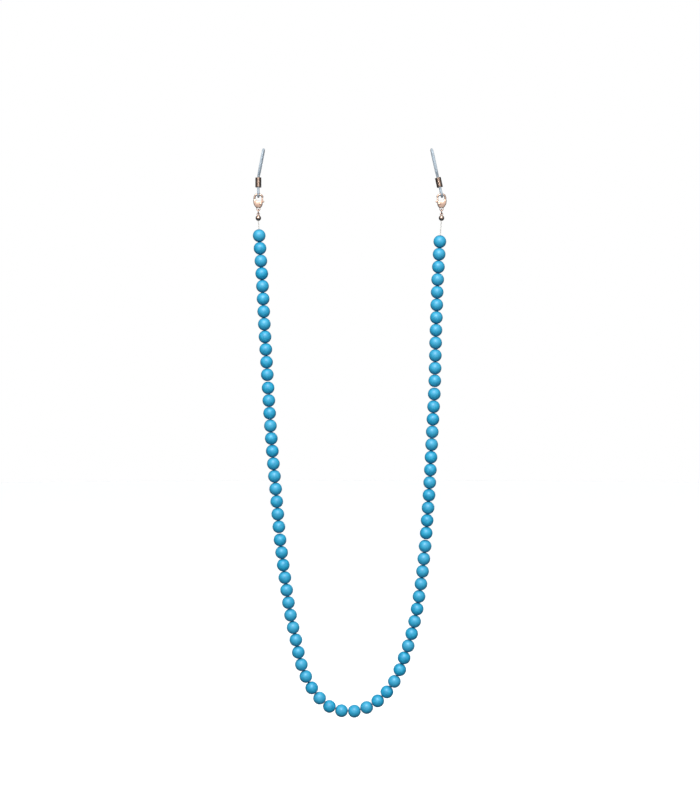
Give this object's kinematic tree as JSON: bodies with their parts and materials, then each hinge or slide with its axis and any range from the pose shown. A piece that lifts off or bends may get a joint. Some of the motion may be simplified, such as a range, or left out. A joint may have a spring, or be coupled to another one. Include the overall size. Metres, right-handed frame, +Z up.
{
  "type": "eyeglass retainer strap",
  "caption": "Beaded strap that keeps glasses round the neck: a row of round beads on a thread, with a lobster clasp and a silicone temple loop at each end.",
  "frame": {"origin": "midway between the two temple loops, level with the seats on which the loops rest on the temples", "axes": "+Z up, so the strap hangs down along -Z; +X from the wearer's one temple to the other; +Y fore and aft, across the plane in which the strap hangs"},
  "size_m": [0.115, 0.008, 0.3378],
  "materials": {
    "beads": "satin blue stain and lacquer over turned wood",
    "thread": "clear nylon bead thread",
    "temple_cord": "translucent silicone cord",
    "rose_gold_metal": "polished rose gold plating",
    "spring_steel": "bare spring steel and tinned crimps"
  },
  "bodies": {
    "temple_loops": {"temple_loop_left": "temple_cord", "temple_loop_right": "temple_cord"},
    "coil_left": {"tightening_coil_left": "rose_gold_metal"},
    "coil_right": {"tightening_coil_right": "rose_gold_metal"},
    "clasp_left": {"clasp_body_left": "rose_gold_metal", "clasp_rivet_left": "rose_gold_metal", "clasp_spring_left": "spring_steel"},
    "clasp_right": {"clasp_body_right": "rose_gold_metal", "clasp_rivet_right": "rose_gold_metal", "clasp_spring_right": "spring_steel"},
    "lever_left": {"clasp_lever_left": "rose_gold_metal"},
    "lever_right": {"clasp_lever_right": "rose_gold_metal"},
    "strap_upper": {"split_ring_left": "rose_gold_metal", "bead_tip_left": "rose_gold_metal", "crimp_bead_left": "spring_steel", "thread_upper_left": "thread", "split_ring_right": "rose_gold_metal", "bead_tip_right": "rose_gold_metal", "crimp_bead_right": "spring_steel", "thread_upper_right": "thread"},
    "strap_middle": {"thread_middle_left": "thread", "thread_middle_right": "thread"},
    "strap_lower": {"thread_lower": "thread"},
    "loose_run_left_1": {"bead_run_left_1": "beads"},
    "loose_run_left_2": {"bead_run_left_2": "beads"},
    "loose_run_left_3": {"bead_run_left_3": "beads"},
    "loose_run_left_4": {"bead_run_left_4": "beads"},
    "loose_run_left_5": {"bead_run_left_5": "beads"},
    "loose_run_left_6": {"bead_run_left_6": "beads"},
    "loose_run_left_7": {"bead_run_left_7": "beads"},
    "loose_run_left_8": {"bead_run_left_8": "beads"},
    "loose_bead_31": {"bead_31": "beads"},
    "loose_bead_32": {"bead_32": "beads"},
    "loose_bead_33": {"bead_33": "beads"},
    "loose_bead_34": {"bead_34": "beads"},
    "loose_bead_35": {"bead_35": "beads"},
    "loose_bead_36": {"bead_36": "beads"},
    "loose_bead_37": {"bead_37": "beads"},
    "loose_bead_38": {"bead_38": "beads"},
    "loose_bead_39": {"bead_39": "beads"},
    "loose_bead_40": {"bead_40": "beads"},
    "loose_bead_41": {"bead_41": "beads"},
    "loose_bead_42": {"bead_42": "beads"},
    "loose_bead_43": {"bead_43": "beads"},
    "loose_bead_44": {"bead_44": "beads"},
    "loose_bead_45": {"bead_45": "beads"},
    "loose_bead_46": {"bead_46": "beads"},
    "loose_bead_47": {"bead_47": "beads"},
    "loose_bead_48": {"bead_48": "beads"},
    "loose_bead_49": {"bead_49": "beads"},
    "loose_bead_50": {"bead_50": "beads"},
    "loose_run_right_8": {"bead_run_right_8": "beads"},
    "loose_run_right_7": {"bead_run_right_7": "beads"},
    "loose_run_right_6": {"bead_run_right_6": "beads"},
    "loose_run_right_5": {"bead_run_right_5": "beads"},
    "loose_run_right_4": {"bead_run_right_4": "beads"},
    "loose_run_right_3": {"bead_run_right_3": "beads"},
    "loose_run_right_2": {"bead_run_right_2": "beads"},
    "loose_run_right_1": {"bead_run_right_1": "beads"}
  },
  "joints": [
    {"name": "clasp_left_swing", "type": "hinge", "parent": "temple_loops", "child": "clasp_left", "pos_m": [-0.0544, 0, -0.0258], "axis": [1, 0, 0], "range_deg": [-45, 45]},
    {"name": "clasp_right_swing", "type": "hinge", "parent": "temple_loops", "child": "clasp_right", "pos_m": [0.0543, 0, -0.0258], "axis": [1, 0, 0], "range_deg": [-45, 45]},
    {"name": "coil_left_slide", "type": "slide", "parent": "temple_loops", "child": "coil_left", "axis": [0, 0, 1], "range_m": [-0.0018, 0]},
    {"name": "coil_right_slide", "type": "slide", "parent": "temple_loops", "child": "coil_right", "axis": [-0.2149, 0, 0.9766], "range_m": [-0.0018, 0]},
    {"name": "lever_left_press", "type": "hinge", "parent": "clasp_left", "child": "lever_left", "pos_m": [-0.0531, 0, -0.0317], "axis": [0, -1, 0], "range_deg": [0, 20], "stiffness_Nm_per_rad": 0.005, "springref_deg": -8.59, "deforming": ["clasp_spring_left"]},
    {"name": "lever_right_press", "type": "hinge", "parent": "clasp_right", "child": "lever_right", "pos_m": [0.053, 0, -0.0317], "axis": [0, 1, 0], "range_deg": [0, 20], "stiffness_Nm_per_rad": 0.005, "springref_deg": -8.59, "deforming": ["clasp_spring_right"]},
    {"name": "strap_hang", "type": "hinge", "parent": "clasp_left", "child": "strap_upper", "pos_m": [-0.0544, 0, -0.03465], "axis": [1, 0, 0], "range_deg": [-25, 25]},
    {"name": "strap_fold_upper", "type": "hinge", "parent": "strap_upper", "child": "strap_middle", "pos_m": [-0.04885, 0, -0.13681], "axis": [0.9993, 0, -0.0364], "range_deg": [-25, 25]},
    {"name": "strap_fold_lower", "type": "hinge", "parent": "strap_middle", "child": "strap_lower", "pos_m": [-0.04186, 0, -0.22701], "axis": [0.9991, 0, -0.0429], "range_deg": [-25, 25]},
    {"name": "turn_run_left_1", "type": "hinge", "parent": "strap_upper", "child": "loose_run_left_1", "pos_m": [-0.05314, 0, -0.06163], "axis": [0.0684, 0, -0.9977], "continuous": true},
    {"name": "turn_run_left_2", "type": "hinge", "parent": "strap_upper", "child": "loose_run_left_2", "pos_m": [-0.05139, 0, -0.09164], "axis": [0.0483, 0, -0.9988], "continuous": true},
    {"name": "turn_run_left_3", "type": "hinge", "parent": "strap_upper", "child": "loose_run_left_3", "pos_m": [-0.04976, 0, -0.12166], "axis": [0.0598, 0, -0.9982], "continuous": true},
    {"name": "turn_run_left_4", "type": "hinge", "parent": "strap_middle", "child": "loose_run_left_4", "pos_m": [-0.04793, 0, -0.15196], "axis": [0.0612, 0, -0.9981], "continuous": true},
    {"name": "turn_run_left_5", "type": "hinge", "parent": "strap_middle", "child": "loose_run_left_5", "pos_m": [-0.04578, 0, -0.18194], "axis": [0.0836, 0, -0.9965], "continuous": true},
    {"name": "turn_run_left_6", "type": "hinge", "parent": "strap_middle", "child": "loose_run_left_6", "pos_m": [-0.04317, 0, -0.21189], "axis": [0.0848, 0, -0.9964], "continuous": true},
    {"name": "turn_run_left_7", "type": "hinge", "parent": "strap_lower", "child": "loose_run_left_7", "pos_m": [-0.04057, 0, -0.23836], "axis": [0.1255, 0, -0.9921], "continuous": true},
    {"name": "turn_run_left_8", "type": "hinge", "parent": "strap_lower", "child": "loose_run_left_8", "pos_m": [-0.0376, 0, -0.26071], "axis": [0.1417, 0, -0.9899], "continuous": true},
    {"name": "turn_bead_31", "type": "hinge", "parent": "strap_lower", "child": "loose_bead_31", "pos_m": [-0.03528, 0, -0.27556], "axis": [0.1839, 0, -0.9829], "continuous": true},
    {"name": "turn_bead_32", "type": "hinge", "parent": "strap_lower", "child": "loose_bead_32", "pos_m": [-0.03377, 0, -0.28292], "axis": [0.2103, 0, -0.9776], "continuous": true},
    {"name": "turn_bead_33", "type": "hinge", "parent": "strap_lower", "child": "loose_bead_33", "pos_m": [-0.03212, 0, -0.29025], "axis": [0.2071, 0, -0.9783], "continuous": true},
    {"name": "turn_bead_34", "type": "hinge", "parent": "strap_lower", "child": "loose_bead_34", "pos_m": [-0.03066, 0, -0.29762], "axis": [0.2171, 0, -0.9762], "continuous": true},
    {"name": "turn_bead_35", "type": "hinge", "parent": "strap_lower", "child": "loose_bead_35", "pos_m": [-0.02886, 0, -0.30492], "axis": [0.2952, 0, -0.9554], "continuous": true},
    {"name": "turn_bead_36", "type": "hinge", "parent": "strap_lower", "child": "loose_bead_36", "pos_m": [-0.02623, 0, -0.31196], "axis": [0.4082, 0, -0.9129], "continuous": true},
    {"name": "turn_bead_37", "type": "hinge", "parent": "strap_lower", "child": "loose_bead_37", "pos_m": [-0.02269, 0, -0.31872], "axis": [0.5371, 0, -0.8435], "continuous": true},
    {"name": "turn_bead_38", "type": "hinge", "parent": "strap_lower", "child": "loose_bead_38", "pos_m": [-0.01805, 0, -0.32479], "axis": [0.6875, 0, -0.7262], "continuous": true},
    {"name": "turn_bead_39", "type": "hinge", "parent": "strap_lower", "child": "loose_bead_39", "pos_m": [-0.01225, 0, -0.32975], "axis": [0.8659, 0, -0.5002], "continuous": true},
    {"name": "turn_bead_40", "type": "hinge", "parent": "strap_lower", "child": "loose_bead_40", "pos_m": [-0.00505, 0, -0.3323], "axis": [0.9823, 0, -0.1875], "continuous": true},
    {"name": "turn_bead_41", "type": "hinge", "parent": "strap_lower", "child": "loose_bead_41", "pos_m": [0.00258, 0, -0.33258], "axis": [0.9919, 0, 0.1274], "continuous": true},
    {"name": "turn_bead_42", "type": "hinge", "parent": "strap_lower", "child": "loose_bead_42", "pos_m": [0.00989, 0, -0.33038], "axis": [0.9151, 0, 0.4032], "continuous": true},
    {"name": "turn_bead_43", "type": "hinge", "parent": "strap_lower", "child": "loose_bead_43", "pos_m": [0.01644, 0, -0.32647], "axis": [0.7919, 0, 0.6107], "continuous": true},
    {"name": "turn_bead_44", "type": "hinge", "parent": "strap_lower", "child": "loose_bead_44", "pos_m": [0.0219, 0, -0.32112], "axis": [0.6486, 0, 0.7611], "continuous": true},
    {"name": "turn_bead_45", "type": "hinge", "parent": "strap_lower", "child": "loose_bead_45", "pos_m": [0.02631, 0, -0.31489], "axis": [0.5025, 0, 0.8646], "continuous": true},
    {"name": "turn_bead_46", "type": "hinge", "parent": "strap_lower", "child": "loose_bead_46", "pos_m": [0.02954, 0, -0.30797], "axis": [0.383, 0, 0.9237], "continuous": true},
    {"name": "turn_bead_47", "type": "hinge", "parent": "strap_lower", "child": "loose_bead_47", "pos_m": [0.03211, 0, -0.30091], "axis": [0.3309, 0, 0.9437], "continuous": true},
    {"name": "turn_bead_48", "type": "hinge", "parent": "strap_lower", "child": "loose_bead_48", "pos_m": [0.03451, 0, -0.29379], "axis": [0.2983, 0, 0.9545], "continuous": true},
    {"name": "turn_bead_49", "type": "hinge", "parent": "strap_lower", "child": "loose_bead_49", "pos_m": [0.03659, 0, -0.28657], "axis": [0.2546, 0, 0.9671], "continuous": true},
    {"name": "turn_bead_50", "type": "hinge", "parent": "strap_lower", "child": "loose_bead_50", "pos_m": [0.03834, 0, -0.27926], "axis": [0.2151, 0, 0.9766], "continuous": true},
    {"name": "turn_run_right_8", "type": "hinge", "parent": "strap_lower", "child": "loose_run_right_8", "pos_m": [0.04096, 0, -0.26446], "axis": [0.1514, 0, 0.9885], "continuous": true},
    {"name": "turn_run_right_7", "type": "hinge", "parent": "strap_lower", "child": "loose_run_right_7", "pos_m": [0.04381, 0, -0.24211], "axis": [0.1014, 0, 0.9948], "continuous": true},
    {"name": "turn_run_right_6", "type": "hinge", "parent": "strap_middle", "child": "loose_run_right_6", "pos_m": [0.04605, 0, -0.2156], "axis": [0.0741, 0, 0.9973], "continuous": true},
    {"name": "turn_run_right_5", "type": "hinge", "parent": "strap_middle", "child": "loose_run_right_5", "pos_m": [0.04788, 0, -0.1856], "axis": [0.051, 0, 0.9987], "continuous": true},
    {"name": "turn_run_right_4", "type": "hinge", "parent": "strap_middle", "child": "loose_run_right_4", "pos_m": [0.04941, 0, -0.15558], "axis": [0.0534, 0, 0.9986], "continuous": true},
    {"name": "turn_run_right_3", "type": "hinge", "parent": "strap_upper", "child": "loose_run_right_3", "pos_m": [0.05057, 0, -0.12524], "axis": [0.0226, 0, 0.9997], "continuous": true},
    {"name": "turn_run_right_2", "type": "hinge", "parent": "strap_upper", "child": "loose_run_right_2", "pos_m": [0.05137, 0, -0.09519], "axis": [0.0314, 0, 0.9995], "continuous": true},
    {"name": "turn_run_right_1", "type": "hinge", "parent": "strap_upper", "child": "loose_run_right_1", "pos_m": [0.05267, 0, -0.06516], "axis": [0.0573, 0, 0.9984], "continuous": true}
  ],
  "couplings": [
    {"joint": "clasp_right_swing", "follows": "clasp_left_swing", "ratio": 1}
  ]
}
